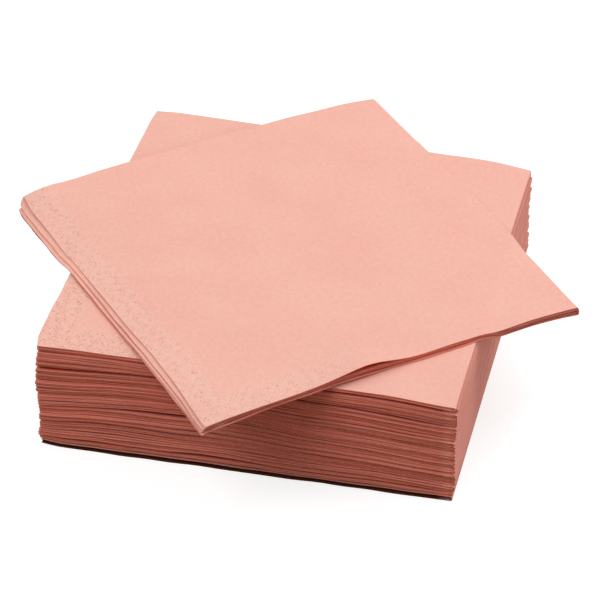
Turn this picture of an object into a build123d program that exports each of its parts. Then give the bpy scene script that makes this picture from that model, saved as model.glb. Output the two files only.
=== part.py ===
"""A stack of paper napkins, each a square sheet folded in four, with one more lying turned on top.

The stack stands on z = 0 with its foot centred on the origin. Seen from the front (looking along +Y)
every napkin has its second fold on the right (+X), its first fold at the back (+Y), and its cut edges
on the left and at the front. A napkin is a little thicker at its left, open side than at the second
fold, so the stack fans out and its top slopes down to the right. All lengths are in millimetres.
"""

from build123d import *
import math
import os

# The sheet, three plies of tissue with the air between them.
SHEET_SIDE = 400.0
SHEET_THICKNESS = 0.40

# A napkin in the stack, pressed by those above it: the space between two leaves at the first fold,
# the space between its two halves at the second fold, and how much thicker it is on the open side.
STACK_COUNT = 25
STACK_LEAF_GAP = 0.14
STACK_HALVES_GAP = 0.22
STACK_OPEN_RISE = 0.31
SEAT_GAP = 0.05

# How far the stack leans over its whole height, and how far single napkins slip and turn in it.
STACK_LEAN_X = 0.7
STACK_LEAN_Y = 2.6
SLIP = 0.7
TWIST_DEGREES = 0.25

# The phase between neighbours in the stack, in radians, which keeps slips and turns from repeating.
SLIP_X_STEP = 2.399
SLIP_Y_STEP = 1.711
TWIST_STEP = 3.883

# The loose napkin on top, and how it is turned and pushed over the stack's own outline.
TOP_LEAF_GAP = 0.30
TOP_HALVES_GAP = 0.36
TOP_OPEN_RISE = 1.80
TOP_TURN_DEGREES = 42.2
TOP_PUSH_X = -0.4
TOP_PUSH_Y = -1.4


def rounded_strip(length, half_thickness):
    """A strip that runs back from the origin and ends there in a half round."""
    strip = Rectangle(length, 2 * half_thickness, align=(Align.MAX, Align.CENTER))
    return strip + Circle(half_thickness)


class FoldedNapkin:
    """A sheet folded in four, lying on z = 0, with the axis of its second fold straight above Y."""

    def __init__(self, leaf_gap, halves_gap, open_rise):
        half_sheet = SHEET_SIDE / 2
        self.bend_inner = leaf_gap / 2
        self.bend_outer = self.bend_inner + SHEET_THICKNESS
        self.inner_radius = halves_gap / 2
        self.outer_radius = self.inner_radius + 2 * self.bend_outer
        # Both folds use up paper along the sheet's middle surface. The second one bends two leaves at
        # once, and the outer one uses more, so the inner one's cut edge stands out further.
        self.depth = half_sheet - math.pi / 2 * (self.bend_inner + SHEET_THICKNESS / 2)
        self.inner_run = half_sheet - math.pi / 2 * (self.inner_radius + SHEET_THICKNESS / 2)
        self.outer_run = half_sheet - math.pi / 2 * (self.outer_radius - SHEET_THICKNESS / 2)
        self.opening = math.degrees(math.atan(open_rise / half_sheet))
        self.centre_x = (self.outer_radius - self.inner_run) / 2
        self.solid = self.fold()

    def first_fold(self):
        """The section of two leaves joined at the back, under the second fold's axis, and the inner leaf."""
        bend_y = (self.depth - self.bend_outer) / 2
        place = Plane.YZ * Pos(bend_y, -self.inner_radius - self.bend_outer)
        pair = rounded_strip(self.depth, self.bend_outer) - rounded_strip(self.depth, self.bend_inner)
        inner_leaf = Rectangle(self.depth, SHEET_THICKNESS, align=(Align.MAX, Align.MIN))
        return place * pair, place * Pos(0, self.bend_inner) * inner_leaf

    def fold(self):
        pair, inner_leaf = self.first_fold()
        half = extrude(pair, self.outer_run, dir=(-1, 0, 0))
        half += extrude(inner_leaf, self.inner_run, dir=(-1, 0, 0))
        second_fold = revolve(pair, axis=-Axis.Y, revolution_arc=180 - self.opening)
        upper_half = half.mirror(Plane.XY).rotate(Axis.Y, self.opening)
        return Pos(0, 0, self.outer_radius) * (half + second_fold + upper_half)

    def seat_above(self, gap):
        """From this napkin's own frame to that of one lying on it."""
        to_axis = Pos(0, 0, self.outer_radius)
        return to_axis * Rot(0, self.opening, 0) * to_axis * Pos(0, 0, gap)

    def turned(self, degrees):
        """The napkin turned about the middle of its folded square."""
        return Pos(self.centre_x, 0, 0) * Rot(0, 0, degrees) * Pos(-self.centre_x, 0, 0) * self.solid


def build_napkins():
    pressed = FoldedNapkin(STACK_LEAF_GAP, STACK_HALVES_GAP, STACK_OPEN_RISE)
    loose = FoldedNapkin(TOP_LEAF_GAP, TOP_HALVES_GAP, TOP_OPEN_RISE)
    lean = Pos(STACK_LEAN_X / STACK_COUNT, STACK_LEAN_Y / STACK_COUNT, 0)
    seat = Pos(-pressed.centre_x, 0, 0)
    napkins = {}
    for number in range(STACK_COUNT):
        slip = Pos(SLIP * math.sin(SLIP_X_STEP * number), SLIP * math.sin(SLIP_Y_STEP * number), 0)
        twist = TWIST_DEGREES * math.sin(TWIST_STEP * number)
        napkins[f"napkin_{number + 1:02d}"] = seat * slip * pressed.turned(twist)
        seat = seat * lean * pressed.seat_above(SEAT_GAP)
    push = Pos(pressed.centre_x - loose.centre_x + TOP_PUSH_X, TOP_PUSH_Y, 0)
    napkins["top_napkin"] = seat * push * loose.turned(TOP_TURN_DEGREES)
    return napkins


os.makedirs("parts", exist_ok=True)
for name, napkin in build_napkins().items():
    export_step(napkin, f"parts/{name}.step")
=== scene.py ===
"""The stack of paper napkins, dressed: every napkin is one sheet of tissue folded in four.

The stack is squared up but for small slips, with leaves that part unevenly at its edges. One more napkin
lies loose and turned on top. Shapes are worked out in millimetres and built in metres.
"""
import math

import bpy
import numpy as np
from mathutils import Matrix


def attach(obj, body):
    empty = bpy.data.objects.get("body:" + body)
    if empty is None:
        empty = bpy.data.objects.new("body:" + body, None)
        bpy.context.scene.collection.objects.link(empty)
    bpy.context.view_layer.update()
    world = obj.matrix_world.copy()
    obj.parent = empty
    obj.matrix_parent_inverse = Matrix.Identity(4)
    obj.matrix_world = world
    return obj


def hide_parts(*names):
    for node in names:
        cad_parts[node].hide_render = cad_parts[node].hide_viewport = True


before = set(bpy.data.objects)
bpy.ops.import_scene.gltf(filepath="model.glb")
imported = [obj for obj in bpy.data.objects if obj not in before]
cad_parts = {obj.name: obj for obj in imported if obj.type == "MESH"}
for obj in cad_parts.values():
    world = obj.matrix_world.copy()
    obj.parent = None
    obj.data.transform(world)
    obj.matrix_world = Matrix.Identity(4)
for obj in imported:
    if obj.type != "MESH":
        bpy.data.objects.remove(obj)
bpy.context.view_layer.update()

MM = 0.001

# The flat sheet, and its thickness as modelled here, without the air that lies between its plies.
HALF_SHEET = 200.0
LEAF = 0.32

# The stack: half its folded side, the height of its upper side at the four corners, how much it crowns,
# how much it dips at the front and waves at the back, and how far it leans over its height.
HALF_SIDE = 100.0
FRONT_LEFT, FRONT_RIGHT, BACK_RIGHT, BACK_LEFT = 58.2, 54.5, 52.9, 64.6
CROWN = 1.1
FRONT_DIP, BACK_WAVE = 0.8, 0.5
LEAN_X, LEAN_Y = 1.8, 2.6

# How much further its corners dip: the corner's place as shares of half a side, reach and depth.
CORNER_DIPS = [(-1, -1, 0.16, 0.3), (1, -1, 0.22, 1.3), (1, 1, 0.12, 0.8), (-1, 1, 0.08, 0.9)]

# The space between the stack and the loose napkin where that rests on it.
CLEARANCE = 0.1

# Slips and turns of single napkins, with the same steps between neighbours as in the solids.
SLIP_X, SLIP_Y = 0.2, 0.45
TWIST_DEGREES = 0.15
SLIP_X_STEP, SLIP_Y_STEP, TWIST_STEP = 2.399, 1.711, 3.883

# How whole groups of napkins stand out to the right or the left: height as a share of the stack, and slip.
GROUP_SLIPS = [
    (0.0, 0.6), (0.05, 0.7), (0.16, 1.7), (0.35, 1.1), (0.62, 0.5), (0.70, 0.9), (0.93, 0.9), (1.0, -0.5),
]

# How far the left cut edges stand out besides: height as a share of the stack, and how far.
LEFT_OUTS = [
    (0.0, 1.5), (0.15, 1.2), (0.35, 0.5), (0.65, 1.2), (0.80, 0.7), (0.90, -0.5), (0.96, -0.4), (1.0, 1.4),
]

# Napkins below which the stack gapes, counted from the foot, and how wide compared with other gaps.
GAPING = {2: 3.0, 6: 3.6, 10: 3.4, 13: 4.2, 19: 0.9, 21: 1.8, 23: -0.8, 24: -1.6}

# How high the second leaf's cut edges stand off the lowest one, and over how many leaves that fades.
FOOT_LIFT = 1.0
FOOT_LEAVES = 9.0

# The corners of the loose napkin's upper side, and how much it swells between them.
TOP_LEFT = (-139.1, 7.3, 65.8)
TOP_FRONT = (-3.5, -140.3, 58.0)
TOP_RIGHT = (143.2, -5.9, 49.0)
TOP_BACK = (11.0, 141.8, 60.6)
TOP_CORNERS = (TOP_LEFT, TOP_FRONT, TOP_RIGHT, TOP_BACK)
TOP_SWELL_ALONG, TOP_SWELL_ACROSS = 3.8, 0.8

# How far the loose napkin's front edge bulges forward, and how far each of its leaves, from the lowest up,
# turns forward by its left corner.
FRONT_BULGE = 2.4
SKEW = np.array([6.6, 3.2, 2.6, 0.0])

# Soft wrinkles of the loose napkin's upper leaf: middle, direction in degrees, half length, width and height.
WRINKLES = [
    (-56.0, -20.0, -2.0, 15.0, 3.5, 0.8), (-43.0, -41.0, 6.0, 19.0, 3.5, 1.2),
    (-22.0, -62.0, 8.0, 17.0, 3.5, 1.1), (-4.0, -72.0, 14.0, 15.0, 3.5, 1.2),
    (27.0, -52.0, 0.0, 14.0, 4.0, 0.6), (65.0, 36.0, 22.0, 34.0, 5.0, 1.4),
    (47.0, 50.0, 44.0, 18.0, 6.0, -0.8), (75.0, 61.0, 40.0, 7.0, 6.0, 1.3),
    (-25.0, 30.0, 0.0, 22.0, 4.0, -0.6), (10.0, 29.0, -3.0, 12.0, 4.0, -0.5),
]

# The embossed band along the cut edges: its width, how soon it fades at its inner side, the space between
# dots, how deep they are pressed, and into how many parts each side of a dot's cell is cut.
BAND = 16.0
BAND_FADE = 3.0
DOT_STEP = 1.7
DOT_DEPTH = 0.28
DOT_CELL = DOT_STEP * math.sqrt(2)
DOT_CUTS = 6

# The net over a sheet: its cuts over half of each fold, and its first step in from a cut edge.
FIRST_FOLD_CUTS, SECOND_FOLD_CUTS = 3, 4
EDGE_STEP = 0.8

# A steeper turn than this between two faces shows as an edge.
SHARP_ANGLE = math.radians(50)

# Colours, as linear red, green and blue.
TISSUE = (0.905, 0.482, 0.396)
# The cut edges' redder, deeper tone: partly the dye seen edge-on, partly painted shade for the warm light
# bounced between the leaves.
CUT_EDGE_DYE_AND_SHADE = (0.98, 0.275, 0.15)
# The lowest napkin's cut edges, near black: a painted contact shadow where the stack meets the floor.
FOOT_SHADOW_EDGE = (0.10, 0.035, 0.02)

# What the colour is multiplied by: painted shade in the dots' pits; a painted highlight over the whole dotted
# band, for the light that its relief catches; painted shade deep between the leaves and on the folds; and on
# the lowest napkin a darker painted shadow, where it meets the floor.
PIT_SHADE = (0.82, 0.63, 0.60)
BAND_HIGHLIGHT = (1.0, 1.07, 1.07)
SHADE_TONE = (0.64, 0.07, 0.03)
FOOT_SHADOW_TONE = (0.17, 0.07, 0.045)

# The lamps, in metres: name, place, what it shines at, size of its side, and watts.
LAMPS = [
    ("key_lamp", (0.30, 0.80, 1.25), (0.0, 0.0, 0.03), 1.3, 10.8),
    ("high_lamp", (-0.60, -0.62, 1.24), (0.0, 0.0, 0.03), 0.9, 7.0),
    ("front_lamp", (-0.50, -1.15, 0.20), (0.0, -0.1, 0.03), 0.5, 1.25),
    ("side_lamp", (1.25, 0.05, 0.22), (0.0, 0.0, 0.03), 0.7, 5.6),
]

# The camera, fitted to the edges of the stack in the photograph: its place in millimetres and its angles.
CAMERA_PLACE = (259.3, -929.0, 734.5)
CAMERA_YAW, CAMERA_PITCH, CAMERA_ROLL = math.radians(-15.335), math.radians(36.229), math.radians(-2.253)
CAMERA_LENS, SENSOR = 145.25, 36.0


def bell(distance, reach):
    return np.exp(-((distance / reach) ** 2))


def ramp(value, start, end):
    """Goes smoothly from 0 at start to 1 at end."""
    t = np.clip((value - start) / (end - start), 0.0, 1.0)
    return t * t * (3.0 - 2.0 * t)


def soft_max(a, b, softness):
    """The larger of two heights, with the crossing rounded off."""
    return b + softness * np.logaddexp(0.0, (a - b) / softness)


class Ripple:
    """A smooth random field over the plan, made of a few waves."""

    def __init__(self, seed, lengths, copies=3):
        random = np.random.default_rng(seed)
        self.waves = []
        for length in lengths:
            for _ in range(copies):
                angle = random.uniform(0.0, math.tau)
                turn = math.tau / (length * random.uniform(0.75, 1.35))
                phase = random.uniform(0.0, math.tau)
                self.waves.append((turn * math.cos(angle), turn * math.sin(angle), phase))

    def __call__(self, x, y):
        total = sum(np.sin(a * x + b * y + phase) for a, b, phase in self.waves)
        return total * math.sqrt(2.0 / len(self.waves))


def stack_height(x, y):
    """The height of the stack's upper side."""
    s = np.clip((x - LEAN_X) / HALF_SIDE, -1.05, 1.05)
    t = np.clip((y - LEAN_Y) / HALF_SIDE, -1.05, 1.05)
    front = FRONT_LEFT * (1 - s) / 2 + FRONT_RIGHT * (1 + s) / 2
    back = BACK_LEFT * (1 - s) / 2 + BACK_RIGHT * (1 + s) / 2
    height = front * (1 - t) / 2 + back * (1 + t) / 2 + CROWN * (1 - s * s)
    height = height - FRONT_DIP * bell(s - 0.34, 0.2) * bell(t + 1, 0.4)
    for corner_s, corner_t, reach, depth in CORNER_DIPS:
        height = height - depth * bell(np.hypot(s - corner_s, t - corner_t), reach)
    return height + BACK_WAVE * np.sin(9.0 * s + 0.8) * bell(t - 1, 0.12) * ramp(s, 0.0, 0.6)


class Layers:
    """How the air between the leaves of the stack is shared out, at each place in the plan."""

    # The table's step and reach, and how far in from an edge the rim, the folds and the cut edges count.
    STEP, REACH = 2.5, 105.0
    RIM_REACH, FOLD_REACH, CUT_REACH = 16.0, 12.0, 22.0

    # How much air swells the stack inside, how unevenly it is shared, and the least share.
    SWELL, UNEVEN, LEAST_SHARE = 0.17, 0.26, 0.15

    def __init__(self, napkins):
        self.leaves = 4 * napkins
        self.side = int(2 * self.REACH / self.STEP) + 1
        line = np.linspace(-self.REACH, self.REACH, self.side)
        x, y = np.meshgrid(line, line, indexing="ij")
        rim = bell(np.clip(HALF_SIDE - np.maximum(abs(x), abs(y)), 0.0, None), self.RIM_REACH)
        right, back = bell(x - HALF_SIDE, self.FOLD_REACH), bell(y - HALF_SIDE, self.FOLD_REACH)
        cut_side = np.maximum(bell(x + HALF_SIDE, self.CUT_REACH), bell(y + HALF_SIDE, self.CUT_REACH))
        swell = self.SWELL * ramp(x, -100.0, -35.0) * (1 - 0.65 * ramp(x, 0.0, 100.0))
        swell = swell * (1 - 0.5 * ramp(y, -100.0, 60.0))
        tight = 1 - 0.5 * cut_side * (1 - right)
        random = np.random.default_rng(8)
        gaps = []
        for gap in range(self.leaves - 1):
            napkin, leaf = divmod(gap, 4)
            within = (1.0 + 0.8 * back, 1.0 + 1.4 * right, 1.0 + 0.8 * back)
            if leaf < 3:
                share = within[leaf] * tight * (1.8 if leaf == 1 else 0.6) ** cut_side
            else:
                wide = GAPING.get(napkin + 1, 0.0) * (0.75 + 0.25 * Ripple(700 + gap, (150.0,))(x, y))
                share = 1.1 + random.uniform(0.2, 1.5) * cut_side + wide * rim
            share = share * np.exp(self.UNEVEN * Ripple(gap, (140.0, 60.0))(x, y))
            share = share * (1 + math.pi * swell * math.cos(math.pi * (gap + 1) / self.leaves))
            gaps.append(np.maximum(share, self.LEAST_SHARE))
        gaps = np.array(gaps)
        self.share = np.concatenate([np.zeros((1, self.side, self.side)), np.cumsum(gaps, 0) / gaps.sum(0)])

    def height(self, leaf, x, y):
        """The height of one leaf's middle surface, read between the places that the table holds."""
        air = stack_height(x, y) - self.leaves * LEAF
        a = np.clip((x + self.REACH) / self.STEP, 0.0, self.side - 1.001)
        b = np.clip((y + self.REACH) / self.STEP, 0.0, self.side - 1.001)
        i, j = a.astype(int), b.astype(int)
        a, b = a - i, b - j
        table = self.share[leaf]
        share = (1 - a) * ((1 - b) * table[i, j] + b * table[i, j + 1])
        share = share + a * ((1 - b) * table[i + 1, j] + b * table[i + 1, j + 1])
        lift = FOOT_LIFT * math.exp((1 - leaf) / FOOT_LEAVES) if leaf else 0.0
        near_cut = np.maximum(bell(x + HALF_SIDE, 7.0), bell(y + HALF_SIDE, 7.0))
        return LEAF * (leaf + 0.5) + air * share + lift * near_cut


class Napkin:
    """A sheet folded in four. Leaves count upwards: outer, inner, inner, outer."""

    # How far the sheet's middle surface bulges past the ends of the leaves, at both folds.
    FIRST_BULGE = 0.30
    SECOND_BULGE = (0.95, 0.40)

    # How far the cut edges wave in and out.
    EDGE_WAVE = 0.12

    def __init__(self, seed):
        self.edge_ripples = [Ripple(10 * seed + leaf, (70.0, 22.0)) for leaf in range(4)]

    def fold(self, u, v):
        """From places on the flat sheet to places in the folded square, and each leaf's share there."""
        turn = np.clip(v / (math.pi / 2 * self.FIRST_BULGE), -1.0, 1.0) * math.pi / 2
        run = np.maximum(abs(v) - math.pi / 2 * self.FIRST_BULGE, 0.0)
        y = HALF_SIDE - self.FIRST_BULGE - LEAF / 2 - run + self.FIRST_BULGE * np.cos(turn)
        inner = (1 - np.sin(turn)) / 2
        bulge = self.SECOND_BULGE[0] * (1 - inner) + self.SECOND_BULGE[1] * inner
        turn = np.clip(u / (math.pi / 2 * bulge), -1.0, 1.0) * math.pi / 2
        past = np.maximum(abs(u) - math.pi / 2 * bulge, 0.0)
        x = HALF_SIDE - self.SECOND_BULGE[0] - LEAF / 2 - past + bulge * np.cos(turn) ** 0.7
        upper = (1 + np.sin(turn)) / 2
        outer, lower = 1 - inner, 1 - upper
        counts = np.array([outer * lower, inner * lower, inner * upper, outer * upper])
        return x, y, counts, past, run

    def shape(self, u, v):
        """The folded sheet's middle surface, where the napkin lies."""
        x, y, counts, past, run = self.fold(u, v)
        waves = np.array([ripple(x, y) for ripple in self.edge_ripples]) * self.EDGE_WAVE
        out_left, out_front = self.outs(x, y)
        left = ((out_left + waves) * counts).sum(0)
        front = ((out_front + waves[::-1]) * counts).sum(0)
        x = x - left * (past / HALF_SHEET) ** 2
        y = y - front * (run / HALF_SHEET) ** 2 - self.skew(x, y, counts)
        heights, x, y = self.place(x, y)
        return np.stack([x, y, (heights * counts).sum(0)], -1)


class StackNapkin(Napkin):
    # What trims the inner leaves' cut edges level with the outer ones, which go the longer way round.
    TRIM = np.array([-0.5, -1.3, -1.3, -0.5])

    # How high the lowest napkin's open corner curls up, over how many napkins that fades, and how far the
    # lowest one's left edge is drawn in by that corner.
    CURL, CURL_NAPKINS, DRAWN_IN = 1.4, 2.5, 1.6

    def __init__(self, number, napkins, layers):
        random = np.random.default_rng(40 + number)
        super().__init__(number)
        share = (number + 0.5) / napkins
        self.out_left = self.TRIM + random.uniform(-0.15, 0.15, 4) + np.interp(share, *zip(*LEFT_OUTS))
        self.out_front = random.uniform(-0.4, 0.4) + random.uniform(-0.65, 0.65, 4)
        self.is_lowest, self.is_highest = number == 0, number == napkins - 1
        if self.is_lowest:
            self.out_front = np.array([0.2, -0.6, -0.2, 0.4])
        if self.is_highest:
            self.out_front = np.array([0.5, -0.4, 0.0, 0.3])
        self.layers = layers
        self.first_leaf = 4 * number
        group = np.interp(share, *zip(*GROUP_SLIPS))
        self.shift_x = LEAN_X * share + group + SLIP_X * math.sin(SLIP_X_STEP * number)
        self.shift_y = LEAN_Y * share + SLIP_Y * math.sin(SLIP_Y_STEP * number)
        self.turn = math.radians(TWIST_DEGREES) * math.sin(TWIST_STEP * number)
        self.curl = self.CURL * math.exp(-number / self.CURL_NAPKINS)
        self.flare = min(self.curl, number - self.DRAWN_IN)

    def outs(self, x, y):
        flat = np.ones_like(x)
        flare = self.flare * bell(y + HALF_SIDE, 12.0)
        if self.is_highest:
            flare = -2.0 * bell(y + HALF_SIDE, 4.5)
        return self.out_left[:, None] * flat + flare, self.out_front[:, None] * flat

    def skew(self, x, y, counts):
        return 0.0

    def painted_shade(self, u, v):
        """How much painted shade a place takes, from 0 to 1: in the grooves between the cut edges and on the
        folds.
        """
        inward = HALF_SHEET - np.maximum(abs(u), abs(v))
        groove = 0.3 + 0.7 * ramp(inward, 0.4, 1.6)
        if self.is_lowest:
            # The lowest napkin's lower leaves take painted shade in full along their cut edges: a painted
            # contact shadow at the floor.
            groove = np.where(u < 0, 1.0, groove)
        groove = groove * (1 - ramp(inward, 6.0, 12.0)) * ramp(np.minimum(abs(u), abs(v)), 1.5, 5.0)
        # The folds take a lighter painted shade as well.
        painted_shade = np.maximum(groove, 0.35 * (1 - ramp(abs(u), 1.5, 4.0)))
        return painted_shade * (1 - ramp(u, -1.5, 1.5) * ramp(v, -1.5, 1.5)) if self.is_highest else painted_shade

    def place(self, x, y):
        c, s = math.cos(self.turn), math.sin(self.turn)
        x, y = c * x - s * y + self.shift_x, s * x + c * y + self.shift_y
        curl = self.curl * bell(np.hypot(x + HALF_SIDE, y + HALF_SIDE), 7.0)
        return np.array([self.layers.height(self.first_leaf + leaf, x, y) + curl for leaf in range(4)]), x, y


class LooseNapkin(Napkin):
    FIRST_BULGE = 0.5
    SECOND_BULGE = (1.15, 0.5)
    LEAST_GAP = LEAF + 0.12

    # How far each leaf's left edge stands out: at the left corner, in the middle and at the front corner.
    OUT_LEFT = np.array([(4.6, 3.5, 1.8), (3.6, 2.2, 0.7), (2.0, 0.4, 0.1), (0.0, -0.6, 0.0)])
    OUT_FRONT = np.array([0.5, -0.3, 0.0, 0.3])

    # How much further they stand out on the right half of the front edge.
    TUCKED_FRONT = np.array([0.9, 0.2, 0.2, -0.2])

    # The upper leaf's sag by the left corner, that corner's own lift, its soft unevenness, and the bows in
    # which it stands up off the others along the front and the left edge.
    SAG, CORNER_LIFT, UNEVEN = 2.6, 1.4, 0.18
    FRONT_BOW, SMALL_BOW, LEFT_BOW = 4.0, 0.7, 2.3

    def __init__(self):
        super().__init__(99)
        self.surface = Ripple(5, (130.0, 60.0, 33.0))

    def outs(self, x, y):
        q = y / HALF_SIDE
        left = self.OUT_LEFT @ np.array([q * (q + 1) / 2, 1 - q * q, q * (q - 1) / 2])
        left[3] -= 0.9 * bell(q + 0.55, 0.3)
        left[0] += 0.5 * bell(q + 0.6, 0.25) - 0.3 * bell(q - 0.33, 0.2)
        p = np.clip(x / HALF_SIDE, -1.0, 1.0)
        tucked = self.TUCKED_FRONT[:, None] * ramp(p, -0.1, 0.3)
        tucked[0] -= 0.8 * ramp(p, 0.55, 0.8) + 1.3 * bell(p - 0.6, 0.16)
        tucked = tucked + 0.9 * bell(p - 0.3, 0.25)
        return left, self.OUT_FRONT[:, None] + tucked + FRONT_BULGE * (1 - p * p)

    def skew(self, x, y, counts):
        return (SKEW @ counts) * ((1 - x / HALF_SIDE) / 2) ** 3 * ((1 + y / HALF_SIDE) / 2) ** 2

    def painted_shade(self, u, v):
        """Painted shade as in the stack, along the front edge and, on the lower leaves, along the left edge,
        but not on the leaf that shows. The lowest leaf's rim takes a painted contact shadow.
        """
        inward = HALF_SHEET - abs(v)
        groove = (0.35 + 0.65 * ramp(inward, 0.4, 1.6)) * (1 - ramp(inward, 6.0, 12.0))
        groove = groove * ramp(HALF_SHEET - abs(u), 6.0, 16.0)
        inward, back = HALF_SHEET - abs(u), 1 - abs(v) / HALF_SHEET
        start = 1.0 + 1.4 * back
        left = 0.45 * ramp(inward, start, start + 0.8) * (1 - ramp(inward, 5.0, 9.0)) * (u < 0)
        # Painted contact shadow on the lowest leaf's rim, by the left edge and under the right part of the
        # front edge.
        front_under = (1 - ramp(HALF_SHEET - abs(v), 0.0, 0.8)) * (1 - ramp(abs(u), 70.0, 120.0))
        under = np.maximum(0.45 * (1 - ramp(inward, 0.0, 0.8)), 0.4 * front_under) * (u < 0) * (v > 0)
        groove = np.maximum(groove, np.maximum(left, under))
        return groove * (1 - ramp(u, -1.5, 1.5) * ramp(v, -1.5, 1.5))

    def flat_corners(self, p, q, values):
        """Shares a value out between the four corners' own."""
        left, front, right, back = values
        near = front * (1 - p) + right * (1 + p)
        far = left * (1 - p) + back * (1 + p)
        return (near * (1 - q) + far * (1 + q)) / 4

    def upper_side(self, p, q, x, y):
        """The height of the upper leaf where nothing holds it up."""
        height = self.flat_corners(p, q, [corner[2] for corner in TOP_CORNERS])
        height = height + TOP_SWELL_ALONG * (1 - p**4) + TOP_SWELL_ACROSS * (1 - q * q) * (1 + p) / 2
        sag = ramp(1 - q, 0.0, 0.1) * (1 - ramp(1 - q, 0.45, 0.95)) * bell(p + 1, 0.25)
        height = height - self.SAG * sag + self.CORNER_LIFT * bell(np.hypot(p + 0.9, q - 1), 0.13)
        height = height - 0.3 * bell(np.hypot(p - 0.75, q + 1), 0.3)
        return height + self.UNEVEN * self.surface(x, y)

    def wrinkles(self, x, y):
        height = np.zeros_like(x)
        for middle_x, middle_y, degrees, half_length, width, rise in WRINKLES:
            c, s = math.cos(math.radians(degrees)), math.sin(math.radians(degrees))
            along = c * (x - middle_x) + s * (y - middle_y)
            across = c * (y - middle_y) - s * (x - middle_x)
            height = height + rise * bell(along, half_length) * bell(across, width)
        return height

    def bow(self, p, q):
        """How far the upper leaf stands up off the others in two bows along the front edge."""
        large = self.FRONT_BOW * bell(p + 0.18, np.where(p < -0.18, 0.20, 0.18)) * bell(q + 1, 0.24)
        return large + self.SMALL_BOW * bell(p - 0.27, 0.12) * bell(q + 1, 0.18)

    def left_bow(self, p, q):
        """The same along the left edge."""
        return self.LEFT_BOW * bell(q + 0.6, 0.27) * bell(p + 1, 0.2)

    def gaps(self, p, q):
        """The three spaces between the middles of the four leaves, where nothing presses on them."""
        fold_side = bell(p - 1, 0.12)
        loops = bell(q - 1, 0.10)
        left_corner = bell(np.hypot(p + 1, q - 1), 0.5)
        front_corner = bell(np.hypot(p + 1, q + 1), 0.28)
        front = bell(q + 1, 0.3)
        right_front = front * ramp(p, 0.0, 0.6)
        pair = 0.50 + 0.12 * front + 0.30 * loops + 0.40 * left_corner
        pair = pair + 0.4 * front_corner + 0.30 * right_front
        middle = 0.52 + 0.25 * front + 0.50 * fold_side + 0.15 * bell(p + 1, 0.3) - 0.15 * left_corner
        middle = middle + 0.5 * front_corner + 0.55 * right_front
        upper = pair + 0.4 * left_corner + 0.55 * self.bow(p, q) + 0.12 * self.left_bow(p, q)
        tight = 1 - 0.28 * bell(np.hypot(p + 1, q - 0.35), 0.3)
        return tight * (pair + 0.3 * left_corner), tight * middle, tight * upper

    def place(self, x, y):
        p, q = x / HALF_SIDE, y / HALF_SIDE
        x, y = (self.flat_corners(p, q, [corner[k] for corner in TOP_CORNERS]) for k in (0, 1))
        first, middle, last = self.gaps(p, q)
        least = 3 * self.LEAST_GAP
        inside = HALF_SIDE - np.maximum(abs(x - LEAN_X), abs(y - LEAN_Y))
        rest = stack_height(x, y) + LEAF / 2 + CLEARANCE - 0.05 * np.minimum(inside, 0.0) ** 2
        upper = soft_max(self.upper_side(p, q, x, y) - LEAF / 2, rest + least + 0.2, 0.8)
        upper = np.maximum(upper + self.wrinkles(x, y), rest + least + 0.05)
        upper = upper + self.bow(p, q) + self.left_bow(p, q)
        lowest = upper - (first + middle + last)
        lowest = lowest + ramp(inside, -4.0, 26.0) * (rest - lowest)
        lowest = np.minimum(soft_max(lowest, rest, 0.2), upper - least)
        thick = upper - lowest - least
        total = first + middle + last
        second = lowest + self.LEAST_GAP + thick * first / total
        third = upper - self.LEAST_GAP - thick * last / total
        return np.array([lowest, second, third, upper]), x, y


def spread(start, end, first_step, growth, largest):
    """Places from start to end whose spacing grows from first_step to largest."""
    places = [0.0]
    step = first_step
    while places[-1] < abs(end - start):
        places.append(places[-1] + step)
        step = min(step * growth, largest)
    return start + np.array(places) * (end - start) / places[-1]


def fold_lines(bulge, cuts):
    """Places across a fold, from its middle to where the leaf runs straight and a little past that."""
    half = math.pi / 2 * bulge
    return np.concatenate([np.linspace(0.0, half, cuts + 1), [half + 0.5, half + 1.5]])


def half_lines(bulge, cuts, largest):
    """Places from a fold's middle to the cut edge."""
    near_fold = fold_lines(bulge, cuts)
    rest = spread(HALF_SHEET, near_fold[-1], EDGE_STEP, 1.8, largest)[::-1]
    return np.concatenate([near_fold, rest[1:]])


def both_halves(lower, upper):
    """Places over the whole sheet, from those over its lower and its upper half."""
    return np.concatenate([-lower[::-1], upper[1:]])


def dotted_lines(bulge, cuts, dotted, largest):
    """As half_lines, with cells of the dots' own size over the dotted length before the cut edge."""
    near_fold = fold_lines(bulge, cuts)
    dots = HALF_SHEET - DOT_CELL * np.arange(round(dotted / DOT_CELL) + 1)[::-1]
    if dots[0] < near_fold[-1] + DOT_CELL:
        dots = dots[dots > near_fold[-1] + DOT_CELL]
        return np.concatenate([near_fold, dots])
    steps = max(1, round((dots[0] - near_fold[-1]) / largest))
    return np.concatenate([near_fold, np.linspace(near_fold[-1], dots[0], steps + 1)[1:], dots[1:]])


DOT_RIPPLE = Ripple(31, (6.0, 3.4), 8)


def dot_relief(u, v, mask, strength):
    """How deep a lattice of round dots presses the outer side in, which also sets the painted shade in their
    pits, and how far a place is in the band, which sets the painted highlight over it.
    """
    a = (HALF_SHEET - u) / DOT_CELL * math.pi + 0.45 * DOT_RIPPLE(v, u)
    b = (HALF_SHEET - v) / DOT_CELL * math.pi + 0.45 * DOT_RIPPLE(u + 50, v)
    lattice = abs(np.cos(a) * np.cos(b)) ** 2 + abs(np.sin(a) * np.sin(b)) ** 2
    uneven = np.clip(strength * (0.45 + 0.45 * DOT_RIPPLE(u, v)), 0.1, 1.0)
    band = mask(u, v)
    return DOT_DEPTH * ramp(lattice, 0.45, 0.95) * uneven * band, band


def outer_normals(shape, u, v):
    step = 0.04
    along = shape(u + step, v) - shape(u - step, v)
    across = shape(u, v + step) - shape(u, v - step)
    normal = np.cross(along, across)
    return normal / np.linalg.norm(normal, axis=1)[:, None]


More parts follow.
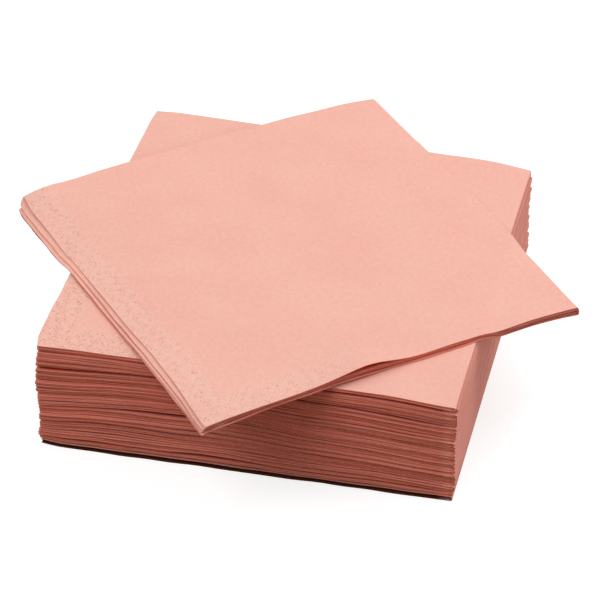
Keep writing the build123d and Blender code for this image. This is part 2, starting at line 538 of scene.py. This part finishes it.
class Net:
    """Places over a flat sheet, for both of its sides. Dotted cells of its outer side are cut finer."""

    def __init__(self, us, vs, cuts=1, is_dotted=None):
        self.cuts = cuts
        self.columns, self.rows = len(us) - 1, len(vs) - 1
        self.dotted = np.zeros((self.columns, self.rows), bool)
        if is_dotted:
            middle_u, middle_v = np.meshgrid((us[1:] + us[:-1]) / 2, (vs[1:] + vs[:-1]) / 2, indexing="ij")
            self.dotted = is_dotted(middle_u, middle_v)
        fine = np.zeros((self.columns * cuts + 1, self.rows * cuts + 1), bool)
        fine[::cuts, ::cuts] = True
        for i, j in np.argwhere(self.dotted):
            fine[i * cuts:(i + 1) * cuts + 1, j * cuts:(j + 1) * cuts + 1] = True
        i, j = np.nonzero(fine)
        self.u = np.interp(i / cuts, np.arange(self.columns + 1), us)
        self.v = np.interp(j / cuts, np.arange(self.rows + 1), vs)
        self.outer = np.full(fine.shape, -1)
        self.outer[fine] = np.arange(len(i))
        coarse = self.outer[::cuts, ::cuts]
        self.base = coarse.ravel()
        self.inner = len(i) + np.arange(coarse.size).reshape(coarse.shape)

    def side(self, i0, j0, i1, j1):
        """The outer side's points along one side of a cell, without the last."""
        di, dj = (i1 - i0) // self.cuts, (j1 - j0) // self.cuts
        chain = [self.outer[i0 + di * k, j0 + dj * k] for k in range(self.cuts)]
        return [chain[0]] + [k for k in chain[1:] if k >= 0]

    def cell(self, i, j):
        """The outer side's faces in one cell."""
        a, b = i * self.cuts, (i + 1) * self.cuts
        c, d = j * self.cuts, (j + 1) * self.cuts
        if not self.dotted[i, j]:
            two_sides = self.side(a, c, b, c) + self.side(b, c, b, d)
            return [two_sides + self.side(b, d, a, d) + self.side(a, d, a, c)]
        block = self.outer[a:b + 1, c:d + 1]
        quads = np.stack([block[:-1, :-1], block[1:, :-1], block[1:, 1:], block[:-1, 1:]], -1)
        return quads.reshape(-1, 4).tolist()

    def faces(self):
        """The faces of both sides."""
        inner = self.inner
        faces = []
        for i in range(self.columns):
            for j in range(self.rows):
                faces += self.cell(i, j)
                faces.append([inner[i, j], inner[i, j + 1], inner[i + 1, j + 1], inner[i + 1, j]])
        return faces

    def rim(self):
        """The faces along the four cut edges."""
        side, outer, inner = self.side, self.outer, self.inner
        columns, rows = self.columns, self.rows
        faces = []
        for i in range(columns):
            a, b, last = i * self.cuts, (i + 1) * self.cuts, rows * self.cuts
            faces.append(side(b, 0, a, 0) + [outer[a, 0], inner[i, 0], inner[i + 1, 0]])
            faces.append(side(a, last, b, last) + [outer[b, last], inner[i + 1, rows], inner[i, rows]])
        for j in range(rows):
            c, d, last = j * self.cuts, (j + 1) * self.cuts, columns * self.cuts
            faces.append(side(0, c, 0, d) + [outer[0, d], inner[0, j + 1], inner[0, j]])
            faces.append(side(last, d, last, c) + [outer[last, c], inner[columns, j], inner[columns, j + 1]])
        return faces


def sheet_mesh(name, napkin, net, relief=None):
    """A closed mesh of the sheet, whose rim takes the second material."""
    u, v, base = net.u, net.v, net.base
    points, normals = napkin.shape(u, v), outer_normals(napkin.shape, u, v)
    pit_depth_and_shade, dotted_share = relief(u, v) if relief else (0.0 * u, 0.0 * u)
    above = points + normals * (LEAF / 2 - pit_depth_and_shade)[:, None]
    below = points[base] - normals[base] * (LEAF / 2)
    faces, rim = net.faces(), net.rim()
    is_rim = [False] * len(faces) + [True] * len(rim)
    mesh = bpy.data.meshes.new(name)
    mesh.from_pydata((np.concatenate([above, below]) * MM).tolist(), [], faces + rim)
    mesh.polygons.foreach_set("material_index", np.array(is_rim, np.int32))
    mesh.polygons.foreach_set("use_smooth", np.ones(len(is_rim), bool))
    mesh.set_sharp_from_angle(angle=SHARP_ANGLE)

    flat = mesh.attributes.new("flat_place", "FLOAT_VECTOR", "POINT")
    places = np.concatenate([np.stack([u, v, 0 * u], -1), np.stack([u[base], v[base], 0 * u[base]], -1)])
    flat.data.foreach_set("vector", (places * MM).astype(np.float32).ravel())
    painted_shade = napkin.painted_shade(u, v)
    smooth = 0.0 * u[base]
    tones = {
        # Painted shade in the dots' pits.
        "pit_depth_and_shade": (pit_depth_and_shade / DOT_DEPTH, smooth),
        # A painted highlight over the whole dotted band.
        "band_highlight": (dotted_share, smooth),
        "painted_shade": (painted_shade, painted_shade[base]),
    }
    for key, sides in tones.items():
        values = np.concatenate(sides).astype(np.float32)
        mesh.attributes.new(key, "FLOAT", "POINT").data.foreach_set("value", values)
    return mesh


def add_node(nodes, kind, place, **values):
    node = nodes.new(kind)
    node.location = place
    for key, value in values.items():
        setattr(node, key, value)
    return node


def add_noise(nodes, link, place, source, values):
    """A noise texture over the flat sheet."""
    texture = add_node(nodes, "ShaderNodeTexNoise", place)
    for key, value in values.items():
        texture.inputs[key].default_value = value
    link(source.outputs["Vector"], texture.inputs["Vector"])
    return texture.outputs["Fac"]


def add_product(nodes, link, place, a, b):
    """Two colours multiplied."""
    product = add_node(nodes, "ShaderNodeVectorMath", place, operation="MULTIPLY")
    link(a, product.inputs[0])
    link(b, product.inputs[1])
    return product.outputs["Vector"]


def add_dye(nodes, link, colour, cloud, grain):
    """The sheet's colour, with soft clouds in its tint and fine speckles."""
    tint = add_node(nodes, "ShaderNodeValToRGB", (-950, 300))
    tint.color_ramp.elements[0].position = 0.35
    tint.color_ramp.elements[0].color = (colour[0] * 0.99, colour[1] * 0.975, colour[2] * 0.98, 1.0)
    tint.color_ramp.elements[1].position = 0.65
    tint.color_ramp.elements[1].color = (colour[0], colour[1] * 1.025, colour[2] * 1.015, 1.0)
    link(cloud, tint.inputs["Fac"])
    speckle = add_node(nodes, "ShaderNodeMapRange", (-950, 0))
    for key, value in {"From Min": 0.6, "From Max": 1.4, "To Min": 0.92, "To Max": 1.05}.items():
        speckle.inputs[key].default_value = value
    link(grain, speckle.inputs["Value"])
    return add_product(nodes, link, (-650, 200), tint.outputs["Color"], speckle.outputs["Result"])


def tissue_material(name, colour, painted_shade=SHADE_TONE):
    """Matt dyed tissue: soft mottling and fine fibres, with painted shade in the dots' pits, a painted
    highlight over the dotted band, and painted shade in the grooves and on the folds.
    """
    material = bpy.data.materials.new(name)
    material.use_nodes = True
    nodes, link = material.node_tree.nodes, material.node_tree.links.new
    shader = nodes["Principled BSDF"]
    shader.inputs["Base Color"].default_value = (*colour, 1.0)
    shader.inputs["Roughness"].default_value = 0.95
    shader.inputs["Specular IOR Level"].default_value = 0.03

    source = add_node(nodes, "ShaderNodeAttribute", (-1500, 0), attribute_name="flat_place")
    cloud = add_noise(nodes, link, (-1250, 300), source, {"Scale": 30.0, "Detail": 3.0})
    fibre = add_noise(nodes, link, (-1250, 0), source, {"Scale": 900.0, "Detail": 4.0, "Roughness": 0.65})
    crepe = add_noise(nodes, link, (-1250, -300), source, {"Scale": 400.0, "Detail": 2.0})
    grain = add_node(nodes, "ShaderNodeMath", (-1100, -100), operation="ADD")
    link(fibre, grain.inputs[0])
    link(crepe, grain.inputs[1])
    toned = add_dye(nodes, link, colour, cloud, grain.outputs["Value"])
    # Painted shade in the pits, a painted highlight over the band and painted shade in the grooves, each by
    # its attribute.
    for step, (key, tone) in enumerate((("pit_depth_and_shade", PIT_SHADE), ("band_highlight", BAND_HIGHLIGHT), ("painted_shade", painted_shade))):
        share = add_node(nodes, "ShaderNodeAttribute", (-950 + 300 * step, 800), attribute_name=key)
        factor = add_node(nodes, "ShaderNodeMix", (-650 + 300 * step, 800), data_type="RGBA")
        factor.inputs["A"].default_value = (1.0, 1.0, 1.0, 1.0)
        factor.inputs["B"].default_value = (*tone, 1.0)
        link(share.outputs["Fac"], factor.inputs["Factor"])
        toned = add_product(nodes, link, (-450 + 200 * step, 300), toned, factor.outputs["Result"])
    link(toned, shader.inputs["Base Color"])

    bump = add_node(nodes, "ShaderNodeBump", (-350, -200))
    bump.inputs["Strength"].default_value = 1.0
    bump.inputs["Distance"].default_value = 0.00012
    link(grain.outputs["Value"], bump.inputs["Height"])
    link(bump.outputs["Normal"], shader.inputs["Normal"])
    return material


def add_piece(node, mesh, materials):
    for material in materials:
        mesh.materials.append(material)
    piece = bpy.data.objects.new(node + "_sheet", mesh)
    bpy.context.scene.collection.objects.link(piece)
    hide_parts(node)
    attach(piece, "root")


def dotted_mesh(node, napkin, strength, front_fade, left_fade, plain_steps, dotted_step):
    """A napkin with dots on the upper leaf by its cut edges.

    Along the front and the left edge the dots fade out from one distance from the open corner to another.
    The largest steps of the net are given for the plain halves, across and along, and for the dotted ones.
    """

    def mask(u, v):
        a, b = HALF_SHEET - u, HALF_SHEET - v
        along_front = (1 - ramp(b, BAND - BAND_FADE, BAND)) * (1 - ramp(a, *front_fade))
        along_left = 1 - ramp(a, BAND - BAND_FADE, BAND)
        if left_fade:
            along_left = along_left * (1 - ramp(b, *left_fade))
        return np.maximum(along_front, along_left) * (u > 0) * (v > 0)

    dotted_u, dotted_v = front_fade[1], left_fade[1] if left_fade else HALF_SHEET
    first, second = napkin.FIRST_BULGE, napkin.SECOND_BULGE[0]
    us = both_halves(half_lines(second, SECOND_FOLD_CUTS, plain_steps[0]),
                     dotted_lines(second, SECOND_FOLD_CUTS, dotted_u, dotted_step))
    vs = both_halves(half_lines(first, FIRST_FOLD_CUTS, plain_steps[1]),
                     dotted_lines(first, FIRST_FOLD_CUTS, dotted_v, dotted_step))
    net = Net(us, vs, DOT_CUTS, lambda u, v: mask(u, v) > 0.02)
    return sheet_mesh(node, napkin, net, lambda u, v: dot_relief(u, v, mask, strength))


def plain_mesh(node, napkin):
    """A napkin inside the stack, of which only the edges show."""
    us = half_lines(napkin.SECOND_BULGE[0], SECOND_FOLD_CUTS, 5.0)
    vs = half_lines(napkin.FIRST_BULGE, FIRST_FOLD_CUTS, 7.0)
    return sheet_mesh(node, napkin, Net(both_halves(us, us), both_halves(vs, vs)))


def uppermost_mesh(node, napkin):
    """The stack's highest napkin, with dots by its open corner, which is the part that shows."""
    return dotted_mesh(node, napkin, strength=1.6, front_fade=(50.0, 95.0), left_fade=(60.0, 105.0),
                       plain_steps=(6.0, 7.0), dotted_step=5.0)


def loose_mesh(node, napkin):
    """The loose napkin, dotted all along its left edge and along the left half of its front edge."""
    return dotted_mesh(node, napkin, strength=0.75, front_fade=(35.0, 110.0), left_fade=None,
                       plain_steps=(5.0, 5.0), dotted_step=3.5)


def build_napkins():
    # The rims take the cut edges' tone, partly dye and partly painted shade.
    tissue, cut_edge = tissue_material("tissue", TISSUE), tissue_material("tissue_cut_edge", CUT_EDGE_DYE_AND_SHADE)
    # The lowest napkin's own materials, with darker painted shade and near black cut edges: a painted contact
    # shadow on the floor.
    foot = [tissue_material("tissue_foot", TISSUE, FOOT_SHADOW_TONE), tissue_material("tissue_foot_edge", FOOT_SHADOW_EDGE)]
    stack = sorted(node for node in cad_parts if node.startswith("napkin_"))
    layers = Layers(len(stack))
    for number, node in enumerate(stack):
        napkin = StackNapkin(number, len(stack), layers)
        mesh = uppermost_mesh(node, napkin) if napkin.is_highest else plain_mesh(node, napkin)
        add_piece(node, mesh, [tissue, cut_edge] if number else foot)
    loose = LooseNapkin()
    add_piece("top_napkin", loose_mesh("top_napkin", loose), [tissue, cut_edge])


def add_floor():
    """A plain pale floor. It looks white and keeps the shadow, and throws little light back at the stack."""
    size = 6.0
    mesh = bpy.data.meshes.new("floor")
    corners = [(-size, -size, 0.0), (size, -size, 0.0), (size, size, 0.0), (-size, size, 0.0)]
    mesh.from_pydata(corners, [], [(0, 1, 2, 3)])
    floor = bpy.data.objects.new("floor", mesh)
    bpy.context.scene.collection.objects.link(floor)
    material = bpy.data.materials.new("pale_floor")
    material.use_nodes = True
    nodes, link = material.node_tree.nodes, material.node_tree.links.new
    nodes.remove(nodes["Principled BSDF"])
    seen = add_node(nodes, "ShaderNodeBsdfDiffuse", (0, 200))
    seen.inputs["Color"].default_value = (0.55, 0.55, 0.55, 1.0)
    glow = add_node(nodes, "ShaderNodeEmission", (0, 50))
    glow.inputs["Strength"].default_value = 0.70
    both = add_node(nodes, "ShaderNodeAddShader", (200, 150))
    other = add_node(nodes, "ShaderNodeBsdfDiffuse", (200, 0))
    other.inputs["Color"].default_value = (0.12, 0.12, 0.12, 1.0)
    rays = add_node(nodes, "ShaderNodeLightPath", (200, 400))
    mix = add_node(nodes, "ShaderNodeMixShader", (400, 200))
    link(seen.outputs["BSDF"], both.inputs[0])
    link(glow.outputs["Emission"], both.inputs[1])
    link(rays.outputs["Is Camera Ray"], mix.inputs["Fac"])
    link(other.outputs["BSDF"], mix.inputs[1])
    link(both.outputs["Shader"], mix.inputs[2])
    link(mix.outputs["Shader"], nodes["Material Output"].inputs["Surface"])
    mesh.materials.append(material)


def add_world():
    """White for the camera, and a plain soft light for everything else."""
    world = bpy.data.worlds.new("world")
    bpy.context.scene.world = world
    world.use_nodes = True
    nodes, link = world.node_tree.nodes, world.node_tree.links.new
    soft = nodes["Background"]
    soft.inputs["Color"].default_value = (1.0, 1.0, 1.0, 1.0)
    soft.inputs["Strength"].default_value = 0.40
    white = add_node(nodes, "ShaderNodeBackground", (0, -200))
    white.inputs["Color"].default_value = (1.0, 1.0, 1.0, 1.0)
    white.inputs["Strength"].default_value = 1.0
    rays = add_node(nodes, "ShaderNodeLightPath", (0, 300))
    mix = add_node(nodes, "ShaderNodeMixShader", (250, 0))
    link(rays.outputs["Is Camera Ray"], mix.inputs["Fac"])
    link(soft.outputs["Background"], mix.inputs[1])
    link(white.outputs["Background"], mix.inputs[2])
    link(mix.outputs["Shader"], nodes["World Output"].inputs["Surface"])


def add_lamp(name, place, target, size, watts):
    """A square soft lamp that shines at a point."""
    light = bpy.data.lights.new(name, "AREA")
    light.size = size
    light.energy = watts
    lamp = bpy.data.objects.new(name, light)
    x, y, z = (t - p for t, p in zip(target, place))
    lamp.location = place
    lamp.rotation_euler = (math.atan2(math.hypot(x, y), -z), 0.0, math.atan2(y, x) - math.pi / 2)
    bpy.context.scene.collection.objects.link(lamp)


def add_camera():
    yaw, pitch, roll = CAMERA_YAW, CAMERA_PITCH, CAMERA_ROLL
    forward = np.array([math.sin(yaw) * math.cos(pitch), math.cos(yaw) * math.cos(pitch), -math.sin(pitch)])
    right = np.array([math.cos(yaw), -math.sin(yaw), 0.0])
    up = np.cross(right, forward)
    c, s = math.cos(roll), math.sin(roll)
    right, up = c * right + s * up, c * up - s * right
    camera = bpy.data.objects.new("camera", bpy.data.cameras.new("camera"))
    camera.data.lens = CAMERA_LENS
    camera.data.sensor_width = SENSOR
    turned = Matrix(np.stack([right, up, -forward], 1).tolist()).to_4x4()
    camera.matrix_world = Matrix.Translation([MM * value for value in CAMERA_PLACE]) @ turned
    bpy.context.scene.collection.objects.link(camera)
    bpy.context.scene.camera = camera


build_napkins()
add_floor()
add_world()
for lamp in LAMPS:
    add_lamp(*lamp)
add_camera()
bpy.context.scene.view_settings.view_transform = "Standard"
